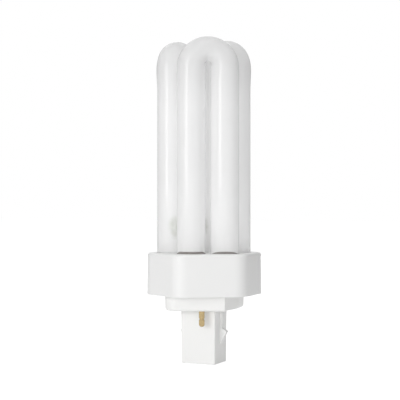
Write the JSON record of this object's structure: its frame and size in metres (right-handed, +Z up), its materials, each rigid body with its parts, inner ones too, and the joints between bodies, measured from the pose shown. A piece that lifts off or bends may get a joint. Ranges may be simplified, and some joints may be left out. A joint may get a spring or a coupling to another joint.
{
  "type": "two pin compact fluorescent lamp",
  "caption": "Plug-in compact fluorescent lamp: white U-bent glass tubes in a moulded collar, on a cap with contact pins and a long rectangular spigot.",
  "frame": {"origin": "centre of the closed end of the cap's spigot, the lowest point of the lamp", "axes": "+Z up the lamp's axis, from the spigot to the glass; the spigot's broad faces look along -Y and +Y, its wedged faces along -X and +X"},
  "size_m": [0.0444, 0.049, 0.1388],
  "materials": {
    "coated_glass": "glossy clear glass over a white phosphor coat",
    "white_plastic": "satin moulded",
    "pin_brass": "turned",
    "cement": "dull cast cement",
    "switch_glass": "clear glass bulb",
    "capacitor_resin": "dipped resin",
    "tinned_wire": "tinned",
    "sleeve_fabric": "woven glass fibre"
  },
  "bodies": {
    "root": {"discharge_tube": "coated_glass", "tube_collar": "white_plastic", "cap_body": "white_plastic", "contact_pin_front": "pin_brass", "contact_pin_rear": "pin_brass", "tube_cement": "cement", "glow_starter": "switch_glass", "suppression_capacitor": "capacitor_resin", "lead_wire_pin_front": "tinned_wire", "lead_wire_pin_rear": "tinned_wire", "lead_wire_starter_a": "tinned_wire", "lead_wire_starter_b": "tinned_wire", "wire_sleeve_a": "sleeve_fabric", "wire_sleeve_b": "sleeve_fabric", "splice_crimp_a": "tinned_wire", "splice_crimp_b": "tinned_wire"}
  },
  "joints": []
}
